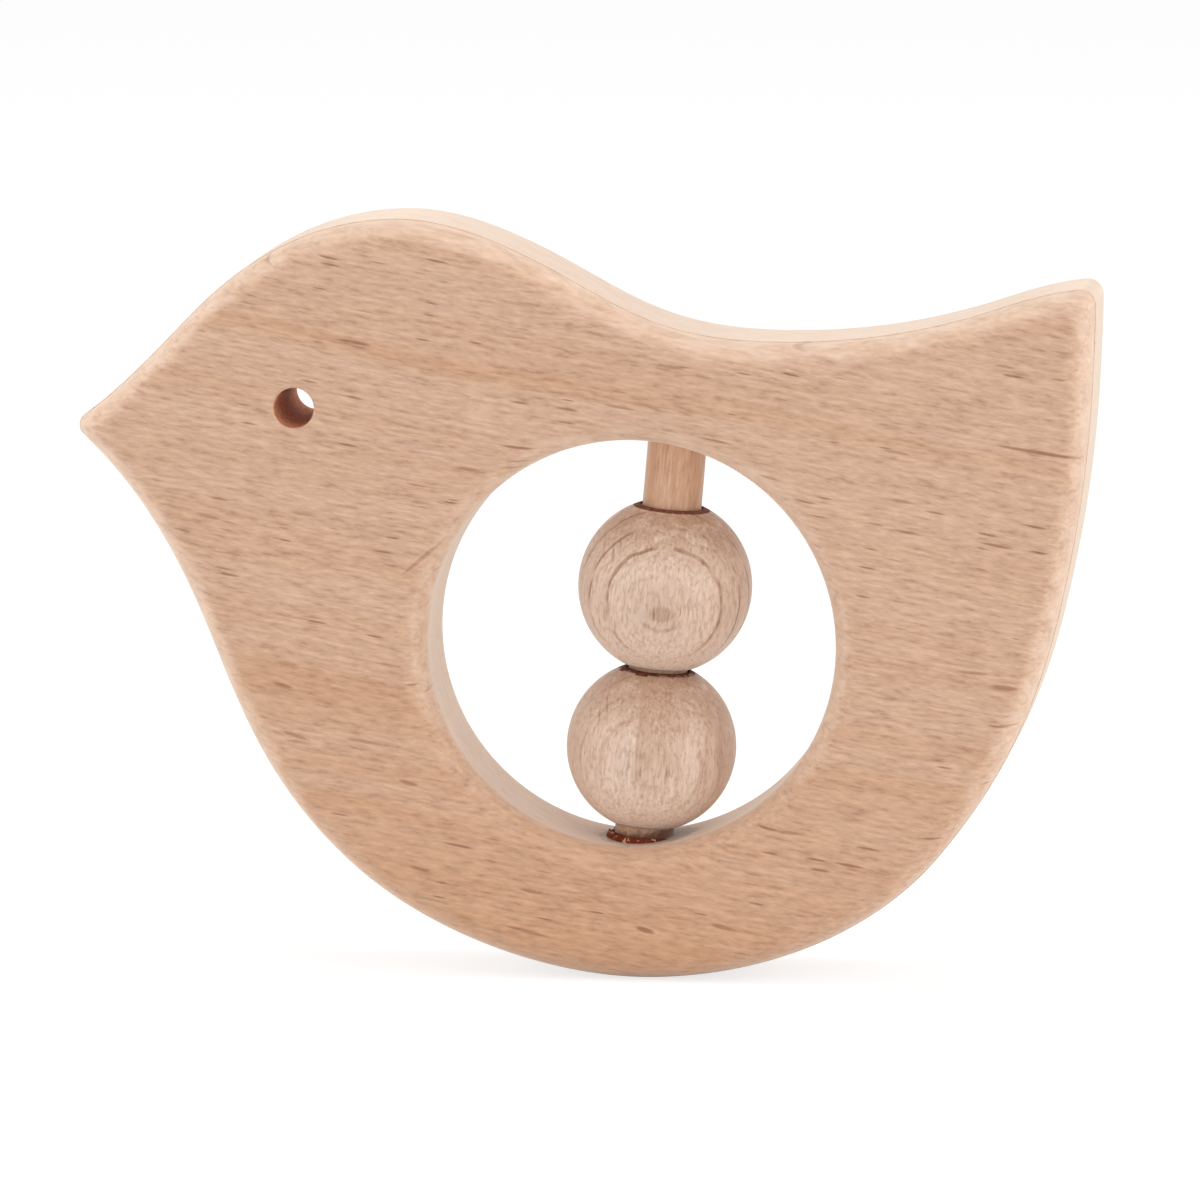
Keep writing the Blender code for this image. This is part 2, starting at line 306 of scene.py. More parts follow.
def unevenness(place, side, looks):
    """How much wider or slimmer hand sanding left a rim at a place, as a factor. The tips stay even."""
    rims_apart, even_length = 50 * MM, 4 * MM
    wave = noise.noise(Vector((place.x, side * rims_apart, place.z)) / looks.sanding_length)
    from_tip = min(flat_gap(place, tip) for tip, _, _ in tip_places(looks.round_over))
    return 1.0 + looks.sanding_spread * wave * min(1.0, max(0.0, from_tip / even_length - 1.0))


def on_wall(face, half):
    """Whether a face belongs to the board's upright wall and lies less than half from its middle plane."""
    upright = abs(face.normal.y) < 0.02
    return upright and abs(face.calc_center_median().y) < half


def sand_rims(board, looks):
    """Vary the rims' width as hand sanding does, and leave the router's small shoulder beside the wall."""
    wall_half = THICKNESS / 2 - looks.round_over
    with editing(board):
        pick(board, "FACE", lambda face: on_wall(face, wall_half))
        bpy.ops.mesh.inset(thickness=SHOULDER_EDGE, use_boundary=True, use_even_offset=True)
    mesh = bmesh.new()
    mesh.from_mesh(board.data)
    mesh.normal_update()
    wall = [[vert.index for vert in face.verts] for face in mesh.faces if on_wall(face, MM)]
    tree = BVHTree.FromPolygons([vert.co for vert in mesh.verts], wall)
    for vert in mesh.verts:
        if abs(vert.co.y) < wall_half - SHOULDER_EDGE / 2:
            continue
        seen_in_wall = Vector((vert.co.x, 0.0, vert.co.z))
        nearest, normal, _, _ = tree.find_nearest(seen_in_wall)
        depth = seen_in_wall - nearest
        side = math.copysign(1.0, vert.co.y)
        moved = nearest + depth * unevenness(nearest, side, looks) - normal * looks.shoulder
        vert.co.x, vert.co.z = moved.x, moved.z
    mesh.to_mesh(board.data)
    mesh.free()


def add_cylinder(steps, radius, depth, centre, turn):
    """A cylinder with its place in its mesh."""
    place = {"location": centre, "rotation": turn}
    bpy.ops.mesh.primitive_cylinder_add(vertices=steps, radius=radius, depth=depth, **place)
    cylinder = bpy.context.object
    place_into_mesh(cylinder)
    return cylinder


def hole_cutter(looks):
    """A cylinder whose ends flare like the router's quarter round, a little unevenly."""
    straight = THICKNESS - 2 * looks.round_over
    cutter = add_cylinder(HOLE_STEPS, HOLE_RADIUS, straight, HOLE_CENTRE, THROUGH_BOARD)
    for side in (-1.0, 1.0):
        with editing(cutter):
            pick(cutter, "FACE", lambda face: face.calc_center_median().y * side > straight / 2 - WELD)
            for step in range(ROUND_STEPS):
                before, after = (math.pi / 2 * (step + more) / ROUND_STEPS for more in (0, 1))
                rise = looks.round_over * (math.sin(after) - math.sin(before))
                radius = HOLE_RADIUS + looks.round_over * (1 - math.cos(before))
                widening = looks.round_over * (math.cos(before) - math.cos(after))
                if step == ROUND_STEPS - 1:
                    widening += PAST * widening / rise
                    rise += PAST
                grown = (radius + widening) / radius
                bpy.ops.mesh.extrude_region_move(TRANSFORM_OT_translate={"value": (0, side * rise, 0)})
                bpy.ops.transform.resize(value=(grown, 1, grown), center_override=HOLE_CENTRE)
    for vert in cutter.data.vertices:
        if abs(vert.co.y) > straight / 2 + WELD:
            out = vert.co - HOLE_CENTRE
            out.y = 0.0
            wall = out.normalized() * HOLE_RADIUS
            uneven = unevenness(HOLE_CENTRE + wall, math.copysign(1.0, vert.co.y), looks)
            moved = HOLE_CENTRE + wall + (out - wall) * uneven
            vert.co.x, vert.co.z = moved.x, moved.z
    return cutter


def eye_cutter(looks):
    """A slim cylinder whose ends open into a small chamfer."""
    straight = THICKNESS - 2 * looks.eye_chamfer
    cutter = add_cylinder(EYE_STEPS, EYE_RADIUS, straight, EYE_CENTRE, THROUGH_BOARD)
    rise = looks.eye_chamfer + PAST
    grown = (EYE_RADIUS + rise) / EYE_RADIUS
    for side in (-1.0, 1.0):
        with editing(cutter):
            pick(cutter, "FACE", lambda face: face.normal.y * side > 0.9)
            bpy.ops.mesh.extrude_region_move(TRANSFORM_OT_translate={"value": (0, side * rise, 0)})
            bpy.ops.transform.resize(value=(grown, 1, grown), center_override=EYE_CENTRE)
    return cutter


def add_rod(radius, top, bottom):
    """A cylinder along the dowel's axis between two heights above the ground."""
    top, bottom = along_dowel(top), along_dowel(bottom)
    centre = LOWER_CENTRE + DOWEL_AXIS * (top + bottom) / 2
    return add_cylinder(ROD_STEPS, radius, top - bottom, centre, ALONG_DOWEL)


def along_dowel(height):
    """Where the dowel's axis is at a height above the ground, as a length from the lower bead."""
    return (height - LOWER_CENTRE.z) / DOWEL_AXIS.z


def exit_burr(looks):
    """A low ragged collar of fibres that the drill pushed up where it came out into the grip hole."""
    mouth = LOWER_CENTRE - DOWEL_AXIS * mouth_depth()
    root, taper = 1.2 * MM, 0.45
    coarse, fine, raggedness = 0.7 * MM, 0.25 * MM, 0.6
    bpy.ops.mesh.primitive_cone_add(
        vertices=BURR_STEPS,
        radius1=DOWEL_RADIUS + looks.burr_width,
        radius2=DOWEL_RADIUS + looks.burr_width * taper,
        depth=root + looks.burr_height,
        location=mouth + DOWEL_AXIS * (looks.burr_height - root) / 2,
        rotation=ALONG_DOWEL,
    )
    burr = bpy.context.object
    place_into_mesh(burr)
    for vert in burr.data.vertices:
        if (vert.co - mouth).dot(DOWEL_AXIS) > 0:
            rag = noise.noise(vert.co / coarse) + 0.9 * noise.noise(vert.co / fine)
            vert.co += DOWEL_AXIS * looks.burr_height * raggedness * rag
    return burr


def mouth_depth():
    """How far below the lower bead's centre the dowel's axis meets the grip hole's wall."""
    from_hole = LOWER_CENTRE - HOLE_CENTRE
    along = from_hole.dot(DOWEL_AXIS)
    return along + math.sqrt(along**2 - from_hole.length_squared + HOLE_RADIUS**2)


def turn_bead(bead, looks):
    """Turn a sphere a little longer than wide, face off its ends and bore it through."""
    diameter, length = bead.diameter, bead.diameter + looks.extra_length
    end = DOWEL_RADIUS + looks.bore_clearance + looks.end_width
    half = length / 2 * math.sqrt(1 - (2 * end / diameter) ** 2)
    broken_edge, edge_steps = 0.05 * MM, 3
    bpy.ops.mesh.primitive_uv_sphere_add(
        segments=BEAD_SEGMENTS, ring_count=BEAD_RINGS, radius=diameter / 2, scale=(1, 1, length / diameter)
    )
    turned = bpy.context.object
    place_into_mesh(turned)
    with editing(turned):
        for side in (1.0, -1.0):
            bpy.ops.mesh.select_all(action="SELECT")
            plane = {"plane_co": (0, 0, side * half), "plane_no": (0, 0, side)}
            bpy.ops.mesh.bisect(**plane, use_fill=True, clear_outer=True, threshold=WELD)
        pick(turned, "FACE", lambda face: abs(face.calc_center_median().z) > half - WELD)
        bpy.ops.mesh.inset(thickness=looks.end_width)
        bpy.ops.mesh.delete(type="ONLY_FACE")
        pick(turned, "EDGE", lambda edge: edge.is_boundary)
        bpy.ops.mesh.bridge_edge_loops()
    edges = {"limit_method": "ANGLE", "angle_limit": math.radians(BEAD_CREASE)}
    apply_modifier(turned, "BEVEL", width=broken_edge, segments=edge_steps, **edges)
    turned.rotation_euler = ALONG_DOWEL
    turned.location = bead.centre
    place_into_mesh(turned)
    smooth(turned, BEAD_CREASE)
    return turned


def at_bead_bore(place, bead, looks):
    """Whether a place on a bead lies in its bore, on its end rings or on the darker band round the bore's upper
    end.
    """
    wave_length = 0.6 * MM
    reach = DOWEL_RADIUS + looks.bore_clearance + looks.end_width
    if (place - bead.centre).dot(DOWEL_AXIS) > 0:
        reach += looks.dark_edge_width * (1.0 + bead.ragged * noise.noise(place / wave_length))
    return from_dowel_axis(place) < reach


def from_dowel_axis(place):
    """How far a place is from the dowel's axis."""
    out = place - LOWER_CENTRE
    return (out - DOWEL_AXIS * out.dot(DOWEL_AXIS)).length


def in_a_bore(face, looks):
    """Whether a face of the board lies in the eye's bore, in the dowel's or on its burr."""
    place, deep = face.center, 0.5 * MM
    if flat_gap(place, EYE_CENTRE) < EYE_RADIUS + TOUCH:
        return abs(place.y) < THICKNESS / 2 - looks.eye_chamfer
    from_axis = from_dowel_axis(place)
    above_wall = HOLE_RADIUS - flat_gap(place, HOLE_CENTRE)
    if above_wall > BORE_SLACK and place.z < HOLE_CENTRE.z:
        return from_axis < DOWEL_RADIUS + looks.burr_width
    along_bore = abs(face.normal.dot(DOWEL_AXIS)) < 0.3
    in_seat = from_axis < DOWEL_RADIUS + BORE_SLACK + TOUCH and deep < place.z < SEAT_TOP + TOUCH
    return in_seat and (along_bore or place.z > SEAT_TOP - deep)


def give_bore_material(obj, material, test):
    """Give the faces that pass a test a second material."""
    obj.data.materials.append(material)
    for face in obj.data.polygons:
        face.material_index = int(test(face))


def smooth(obj, crease):
    """Shade smooth, but for flat faces and for edges sharper than the crease's angle in degrees."""
    only(obj)
    bpy.ops.object.shade_smooth_by_angle(angle=math.radians(crease))
    apply_modifier(obj, "WEIGHTED_NORMAL", keep_sharp=True, weight=50)


def seat(obj, name, material, body, node):
    """Name a finished piece, give it its material and set it on its body in place of its CAD node."""
    obj.name = obj.data.name = name
    obj.data.materials.clear()
    obj.data.materials.append(material)
    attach(obj, body)
    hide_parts(node)


# Shading


class Value:
    """A socket in a Python expression: each operation on it adds a Math node."""

    def __init__(self, shader, socket):
        self.shader = shader
        self.socket = socket

    def also(self, output):
        """Another output of the same node."""
        return Value(self.shader, self.socket.node.outputs[output])

    def maths(self, operation, *operands):
        """A Math node on these operands."""
        return self.shader.add("ShaderNodeMath", {"operation": operation}, dict(enumerate(operands)))

    def __add__(self, other):
        return self.maths("ADD", self, other)

    __radd__ = __add__

    def __sub__(self, other):
        return self.maths("SUBTRACT", self, other)

    def __rsub__(self, other):
        return self.maths("SUBTRACT", other, self)

    def __mul__(self, other):
        return self.maths("MULTIPLY", self, other)

    __rmul__ = __mul__

    def __truediv__(self, other):
        return self.maths("DIVIDE", self, other)

    def __rtruediv__(self, other):
        return self.maths("DIVIDE", other, self)

    def __pow__(self, other):
        return self.maths("POWER", self, other)

    def __abs__(self):
        return self.maths("ABSOLUTE", self)


class Shader:
    """Builds one node tree."""

    def __init__(self, tree):
        self.tree = tree
        tree.nodes.clear()

    def add(self, node_type, settings=None, sockets=None, output=0):
        """Add a node: its settings first, then its sockets' values or links. Gives one of its outputs."""
        node = self.tree.nodes.new(node_type)
        for name, setting in (settings or {}).items():
            if name == "stops":
                self.place_stops(node.color_ramp, setting)
            else:
                setattr(node, name, setting)
        for name, value in (sockets or {}).items():
            if isinstance(value, Value):
                self.tree.links.new(value.socket, node.inputs[name])
            else:
                node.inputs[name].default_value = value
        return Value(self, node.outputs[output]) if len(node.outputs) else node

    @staticmethod
    def place_stops(color_ramp, stops):
        while len(color_ramp.elements) < len(stops):
            color_ramp.elements.new(0.5)
        for element, (position, color) in zip(color_ramp.elements, stops):
            element.position = position
            element.color = color

    def blend(self, factor, one, other, blend_type="MIX"):
        """Mix two colours."""
        return self.add(
            "ShaderNodeMix", {"data_type": "RGBA", "blend_type": blend_type}, {0: factor, 6: one, 7: other}, 2
        )

    def grey(self, value):
        """A grey as light as a value."""
        return self.add("ShaderNodeCombineColor", None, {"Red": value, "Green": value, "Blue": value})

    def tint(self, color, factor, tint):
        """Multiply a colour by a tint, as far as the factor says."""
        return self.blend(factor, color, tint, "MULTIPLY")

    def ramp(self, value, start, end, low=0.0, high=1.0):
        """Map a value from start to end smoothly onto low to high."""
        return self.add(
            "ShaderNodeMapRange",
            {"interpolation_type": "SMOOTHSTEP"},
            {"Value": value, "From Min": start, "From Max": end, "To Min": low, "To Max": high},
        )

    def profile(self, value, stops):
        """Map a length onto amounts by stops of (length, amount). Past its ends it runs back mirrored."""
        first, last = stops[0][0], stops[-1][0]
        place = (value - first).maths("PINGPONG", value - first, last - first) / (last - first)
        greys = [((at - first) / (last - first), (amount, amount, amount, 1.0)) for at, amount in stops]
        return self.add("ShaderNodeValToRGB", {"stops": greys}, {"Fac": place})

    def frame(self, centre, turn, scale=(MM, MM, MM)):
        """A piece's own coordinates, in millimetres unless scaled otherwise, centred and turned."""
        place = self.add("ShaderNodeTexCoord", output="Object")
        return self.add(
            "ShaderNodeMapping",
            {"vector_type": "TEXTURE"},
            {"Vector": place, "Location": centre, "Rotation": turn, "Scale": scale},
        )

    def reach(self, vector):
        """How far a vector reaches."""
        return self.add("ShaderNodeVectorMath", {"operation": "LENGTH"}, {0: vector}, "Value")

    def stretched(self, grain, size):
        """Grain coordinates that count in units of this size along each axis."""
        return self.add("ShaderNodeVectorMath", {"operation": "DIVIDE"}, {0: grain, 1: size})

    def noise(self, grain, size, detail=2.0, roughness=0.5):
        """Noise with features of this size along the fibres, across the rings and along them."""
        sockets = {"Vector": self.stretched(grain, size), "Scale": 1.0}
        return self.add("ShaderNodeTexNoise", None, {**sockets, "Detail": detail, "Roughness": roughness})

    def warped(self, grain, size, reach):
        """Grain coordinates pushed about by noise, by up to about reach along each axis."""
        wander = self.noise(grain, size, 1.0).also("Color")
        push = self.add("ShaderNodeVectorMath", {"operation": "SUBTRACT"}, {0: wander, 1: (0.5, 0.5, 0.5)})
        push = self.add("ShaderNodeVectorMath", {"operation": "MULTIPLY"}, {0: push, 1: reach})
        return self.add("ShaderNodeVectorMath", {"operation": "ADD"}, {0: grain, 1: push})

    def along(self, grain, axis):
        """One of the coordinates."""
        return self.add("ShaderNodeSeparateXYZ", None, {"Vector": grain}, axis)

    def flecks(self, grain, cell, reach, share):
        """Slim spindles in this share of the cells, each of its own length and depth of colour."""
        sockets = {"Vector": self.stretched(grain, cell), "Scale": 1.0, "Randomness": 1.0}
        near = self.add("ShaderNodeTexVoronoi", None, sockets)
        chance = self.add("ShaderNodeSeparateColor", None, {"Color": near.also("Color")})
        size = (0.5 + 0.5 * chance.also("Green")) * reach
        depth = self.ramp(chance, 1.0 - share, 1.0 - 0.4 * share)
        return self.ramp(near / size, 1.0, 0.45) * depth


def linear(color):
    """A colour picked in screen values as the linear one that a shader takes."""
    return (*[((c + 0.055) / 1.055) ** 2.4 if c > 0.04045 else c / 12.92 for c in color], 1.0)


def grain_turn(fibre, radial):
    """The turn that brings X along the fibres and Y across the growth rings."""
    fibre = Vector(fibre).normalized()
    tangent = fibre.cross(Vector(radial)).normalized()
    return Matrix((fibre, tangent.cross(fibre), tangent)).transposed().to_euler()


# The growth rings on the board's front: how far below its middle each lies across the grain, in millimetres,
# and how ripe it is
BOARD_RINGS = (
    (-38.0, 0.10), (-33.0, 0.05), (-31.0, 0.30), (-28.5, 0.02), (-22.5, 0.06), (-20.8, 0.45), (-18.8, 0.10),
    (-11.0, 0.06), (-9.0, 0.26), (-6.5, 0.06), (-1.0, 0.22), (2.0, 0.28), (3.5, 0.10), (8.0, 0.28),
    (11.3, 0.15), (12.5, 0.62), (15.0, 0.50), (18.0, 0.30), (21.0, 0.62), (23.0, 0.42), (26.0, 0.66),
    (28.2, 0.50), (29.5, 1.00), (31.0, 0.70), (33.5, 0.95), (38.0, 0.80),
)

# The boldest flecks and cracks on the board's front: where the middle lies in X and Z, half the length and
# half the width in millimetres, the slope in degrees down to the right, and the depth of the colour
FRONT_MARKS = (
    (41.6, 30.0, 1.72, 0.28, 6.5, 0.85), (6.4, 5.2, 1.17, 0.33, 16, 1.00),
    (-5.3, 4.8, 2.71, 0.22, 14, 0.70), (-22.3, 62.8, 1.91, 0.26, 9, 0.75),
    (14.0, 5.7, 1.29, 0.30, 13, 0.70), (-17.0, 19.3, 1.17, 0.27, 14, 0.80),
    (-28.2, 23.8, 1.72, 0.25, 17.5, 0.65), (-36.8, 45.4, 1.54, 0.25, 14, 0.65),
    (-29.5, 28.8, 1.23, 0.23, 13.5, 0.80), (20.5, 15.2, 1.29, 0.23, 4.5, 0.70),
    (8.9, 60.9, 1.72, 0.22, 9, 0.60), (-15.9, 10.8, 1.29, 0.22, 14, 0.75),
    (38.5, 31.4, 2.09, 0.20, 4.5, 0.65), (-11.0, 50.5, 1.48, 0.23, 8.5, 0.65),
    (30.9, 52.9, 1.66, 0.20, 10, 0.65), (-4.8, 8.8, 1.48, 0.23, 11.5, 0.65),
    (-15.4, 41.8, 3.45, 0.26, -40, 0.55), (46.0, 30.4, 3.45, 0.24, -43, 0.65),
    (44.9, 53.1, 5.54, 0.24, 8.5, 1.00),
)

# The raised fibres' sheen is a warm white, as a linear colour
SHEEN_TINT = (1.0, 0.87, 0.74, 1.0)

# Streaks of ripe wood in the lower bead, in millimetres from its left to its right, and how ripe each is
LOWER_BEAD_STREAKS = (
    (-9.0, 0.35), (-4.8, 0.25), (-4.1, 0.00), (-3.4, 0.22), (-1.6, 0.05), (-1.45, 0.80), (0.0, 0.60),
    (2.9, 0.42), (3.4, 0.10), (4.8, 0.05), (5.2, 0.60), (5.9, 0.25), (6.6, 0.75), (7.6, 0.35), (9.0, 0.60),
)

# The beads: where in a ring the centre lies, how plain the rings are, and how ragged the darker upper edge of
# the bore is
Bead = namedtuple("Bead", "node centre diameter ring_start contrast streaks ragged")
BEADS = (
    Bead("upper_bead", UPPER_CENTRE, UPPER_DIAMETER, 0.164, 1.0, None, 0.0),
    Bead("lower_bead", LOWER_CENTRE, LOWER_DIAMETER, 0.30, 0.35, LOWER_BEAD_STREAKS, 1.4),
)


def wood_grain(shader, grain, looks, coarse):
    """The fibres', pores' and ray flecks' tint, figure and height, with pale flecks that are painted
    highlights. Coarse is a fibre bundle's width.
    """
    weave = shader.noise(grain, (1.7, coarse * 1.2, coarse), 2.0, 0.65)
    strands = shader.noise(grain, (6.5, coarse * 1.8, coarse * 1.15), 1.0, 0.5)
    figure = weave * 0.68 + strands * 0.32
    dark, middle, full = linear(looks.dark_tint), linear(looks.middle_tint), (1, 1, 1, 1)
    between = [(d + 3 * m) / 4 for d, m in zip(dark, middle)]
    stops = [(0.30, dark), (0.43, between), (0.50, middle), (0.66, full)]
    tint = shader.add("ShaderNodeValToRGB", {"stops": stops}, {"Fac": figure})
    rays = shader.flecks(grain, (5.2, 6.0, 0.60), 0.30, looks.fleck_share)
    # Pale flecks blended towards white are painted highlights beside the dents; they also raise the bump
    painted_glints = shader.flecks(grain, (3.4, 6.0, 0.48), 0.28, 0.45)
    tint = shader.blend(painted_glints * 0.65, tint, full)
    tint = shader.tint(tint, rays, linear(looks.fleck_tint))
    height = figure * 0.8 - rays * 0.7 + painted_glints * 0.3
    return tint, figure, height


def finish_wood(shader, color, figure, height, looks):
    """Bare sanded wood: a fine bump, a dull gloss and a faint sheen of raised fibres."""
    bump = shader.add("ShaderNodeBump", None, {"Strength": 0.6, "Distance": 0.06 * MM, "Height": height})
    sockets = {
        "Base Color": color,
        "Roughness": 0.40 + 0.2 * figure,
        "Normal": bump,
        "Sheen Weight": looks.sheen,
        "Sheen Roughness": 0.6,
        "Sheen Tint": SHEEN_TINT,
    }
    surface = shader.add("ShaderNodeBsdfPrincipled", None, sockets)
    shader.add("ShaderNodeOutputMaterial", None, {"Surface": surface})


def new_shader(name):
    """A new material and the shader that builds it."""
    material = bpy.data.materials.new(name)
    material.use_nodes = True
    return material, Shader(material.node_tree)


def board_wood(looks):
    """Flat-sawn beech: wide growth bands, rays seen end on as short dashes, scorched bores with painted shade
    under the lower bead, and painted light on the rims and walls.
    """
    material, shader = new_shader("board_beech_grain")
    slope, tilt = looks.grain_slope, looks.ring_tilt
    fibre = Vector((math.cos(slope), 0.0, -math.sin(slope)))
    across = Vector((math.sin(slope), 0.0, math.cos(slope)))
    radial = Vector((0.0, math.cos(tilt), 0.0)) + across * math.sin(tilt)
    straight = shader.frame(FRONT_MIDDLE, grain_turn(fibre, radial))
    grain = shader.warped(straight, (26.0, 5.0, 9.0), (0.0, 0.9, 0.9))
    ripe = shader.profile(shader.along(grain, "Y") * (-1 / math.sin(tilt)), BOARD_RINGS)
    ripe = ripe + 1.3 * (shader.noise(grain, (60.0, 0.7, 30.0)) - 0.5)
    color = shader.blend(ripe, linear(looks.pale), linear(looks.ripe))
    tint, figure, height = wood_grain(shader, grain, looks, 0.36)
    color = shader.tint(color, 1.0, tint)
    bold = shader.flecks(grain, (9.5, 6.0, 0.85), 0.26, looks.bold_share)
    mark_depth = 3 * MM
    for x, z, half_length, half_width, slope_down, depth in FRONT_MARKS:
        spindle = (half_length * MM, mark_depth, half_width * MM)
        middle = Vector((x * MM, FRONT_MIDDLE.y, z * MM))
        from_middle = shader.reach(shader.frame(middle, (0, math.radians(slope_down), 0), spindle))
        mark = shader.ramp(from_middle, 1.0, 0.5) * depth
        bold = bold.maths("MAXIMUM", bold, mark)
    color = shader.tint(color, bold, linear(looks.bold_tint))

    # Painted light: the rims are painted paler as light falling on them, but not under the belly, where less
    # falls, and the sawn walls paler, partly as paler wood and partly as painted glare. Level is the height up
    # a rim.
    place = shader.frame((0, 0, 0), (0, 0, 0))
    level = abs(shader.along(place, "Y")) - (THICKNESS / 2 - looks.round_over) / MM
    rim = shader.ramp(level, 2.79, 2.2) * shader.ramp(level, -0.2, 0.4)
    rim = rim * shader.ramp(shader.along(place, "Z"), 12.0, 30.0)
    patchy = shader.ramp(shader.noise(straight, (3.0, 1.6, 1.6)), 0.25, 0.75)
    color = shader.blend(rim * (0.05 + 0.42 * patchy), color, linear(looks.sanded))
    wall = shader.ramp(level, 0.3, -0.1)
    color = shader.blend(wall * (0.30 + 0.30 * patchy), color, linear(looks.sawn))
    # Drill stain round the dowel's mouth, together with painted shade under the lower bead
    color = shader.tint(color, drill_stain_and_bead_shade(shader, straight), linear(looks.scorch_and_shade_tint))
    finish_wood(shader, color, figure, height, looks)
    return material


def drill_stain_and_bead_shade(shader, straight):
    """How far the drill stained the wood round the dowel's bore, where it came out into the grip hole, with
    painted shade under the lower bead that reaches further to the right.
    """
    mouth = LOWER_CENTRE - DOWEL_AXIS * mouth_depth() + Vector((0.5 * MM, 0, 0))
    from_bore = shader.reach(shader.frame(mouth, ALONG_DOWEL, (MM, MM, 4 * MM)))
    ragged = from_bore + 3.4 * (shader.noise(straight, (0.7, 0.7, 0.7), 3.0, 0.6) - 0.5)
    return shader.ramp(ragged, DOWEL_RADIUS / MM + 2.5, DOWEL_RADIUS / MM + 1.2)


def bore_wood(name, looks):
    """The bores' walls and edges: browned by the drill in the board, and darker round the beads' bores."""
    material, shader = new_shader(name)
    grain = shader.frame(EYE_CENTRE, (0, 0, 0))
    marks = shader.noise(grain, (0.5, 0.35, 0.5), 3.0, 0.65)
    color = shader.blend(shader.ramp(marks, 0.62, 0.38), linear(looks.scorch), linear(looks.scorch_dark))
    # The drill's stain with painted shade under the lower bead, broken by the marks
    stain = drill_stain_and_bead_shade(shader, grain) * shader.ramp(marks, 0.64, 0.58)
    color = shader.tint(color, stain, linear(looks.scorch_and_shade_tint))
    bump = shader.add("ShaderNodeBump", None, {"Strength": 0.6, "Distance": 0.1 * MM, "Height": marks})
    sockets = {"Base Color": color, "Roughness": 0.7, "Specular IOR Level": 0.2, "Normal": bump}
    surface = shader.add("ShaderNodeBsdfPrincipled", None, sockets)
    shader.add("ShaderNodeOutputMaterial", None, {"Surface": surface})
    return material


def dowel_wood(looks):
    """Straight fibres along the dowel, a little darker than the board."""
    material, shader = new_shader("dowel_beech_grain")
    straight = shader.frame(LOWER_CENTRE, grain_turn(DOWEL_AXIS, (0.3, -1.0, 0.0)))
    grain = shader.warped(straight, (12.0, 3.0, 3.0), (0.0, 0.5, 0.5))
    wave = shader.noise(grain, (40.0, 1.1, 1.1), 1.0)
    color = shader.blend(shader.ramp(wave, 0.35, 0.7), linear(looks.pale), linear(looks.ripe))
    tint, figure, height = wood_grain(shader, grain, looks, 0.26)
    color = shader.tint(color, 1.0, tint)

    # Painted shade under the lower bead darkens the dowel's foot, most on the right
    above_foot = shader.along(straight, "X") + mouth_depth() / MM
    beside = shader.along(shader.frame(LOWER_CENTRE, (0, 0, 0)), "X")
    ragged = above_foot - 0.2 * beside + 1.6 * (shader.noise(straight, (0.5, 0.5, 0.5), 2.0) - 0.5)
    color = shader.tint(color, shader.ramp(ragged, 1.7, 0.6), linear(looks.foot_shade_tint))
    finish_wood(shader, color, figure, height, looks)
    return material


def bead_wood(bead, looks):
    """Fibres run up the bead, and its growth rings face the front, so that they show there as circles."""
    material, shader = new_shader(bead.node + "_grain")
    straight = shader.frame(bead.centre, grain_turn(looks.fibre, looks.rings_face))
    grain = shader.warped(straight, (3.5, 2.5, 2.5), (0.0, 0.6, 0.6))
    count = shader.along(grain, "Y") / looks.ring_width - bead.ring_start
    part = count.maths("FRACT", count)
    patchy = shader.ramp(shader.noise(straight, (2.6, 2.6, 2.6), 1.0), 0.36, 0.56)
    up, out = shader.along(straight, "X"), shader.along(straight, "Z")
    ring = shader.ramp(part, 0.50, 1.0, 0.35, 1.0) * shader.ramp(up, -6.0, -1.0, 0.15, 0.42) * bead.contrast
    # The crown is darker towards each bead's top: partly riper wood, partly painted shade falling from above
    crown = shader.ramp(shader.along(grain, "X"), 1.5, 8.0)
    crown = crown * shader.ramp(shader.noise(grain, (2.5, 1.0, 1.0)), 0.2, 0.6)
    color = shader.blend(ring.maths("MAXIMUM", ring, crown), linear(looks.pale), linear(looks.ripe))
    line = shader.ramp(part, 0.84, 0.91) * patchy * shader.ramp(up, -6.0, -2.5)
    line = line * shader.ramp(up * up + out * out, 5.0, 12.0)
    color = shader.tint(color, line * bead.contrast, linear(looks.line_tint))
    if bead.streaks:
        side = shader.profile(shader.along(grain, "Z"), bead.streaks)
        color = shader.blend(side * shader.ramp(up, -3.5, 2.5, 0.25, 0.95), color, linear(looks.ripe))
    else:
        # A small pin knot with half a ring under it faces the front
        above, beside = up + 0.50, (out + 0.23) * 0.8
        from_knot = (above * above + beside * beside) ** 0.5
        front = shader.ramp(shader.along(straight, "Y"), 0.0, 2.0)
        under = shader.ramp(abs(from_knot - 1.75), 0.28, 0.10) * shader.ramp(above, -0.7, -1.4)
        color = shader.tint(color, shader.ramp(from_knot, 1.05, 0.55) * front * 0.55, linear(looks.line_tint))
        color = shader.tint(color, under * front * 0.4, linear(looks.line_tint))
    tint, figure, height = wood_grain(shader, grain, looks, 0.22)
    mottle = shader.noise(straight, (0.9, 0.40, 0.40), 2.0, 0.6)
    color = shader.tint(color, shader.ramp(mottle, 0.50, 0.34) * 0.6, linear(looks.mottle_tint))
    color = shader.tint(color, 1.0, tint)

    # Darker round the edges of the bore
    from_dowel = shader.reach(shader.frame(bead.centre, ALONG_DOWEL, (MM, MM, 1.0)))
    near_bore = shader.ramp(from_dowel + 0.8 * mottle, DOWEL_RADIUS / MM + 1.45, DOWEL_RADIUS / MM + 1.1)
    color = shader.tint(color, near_bore, linear(looks.bore_edge_tint))
    finish_wood(shader, color, figure, height + mottle * 0.5, looks)
    return material


# Settings


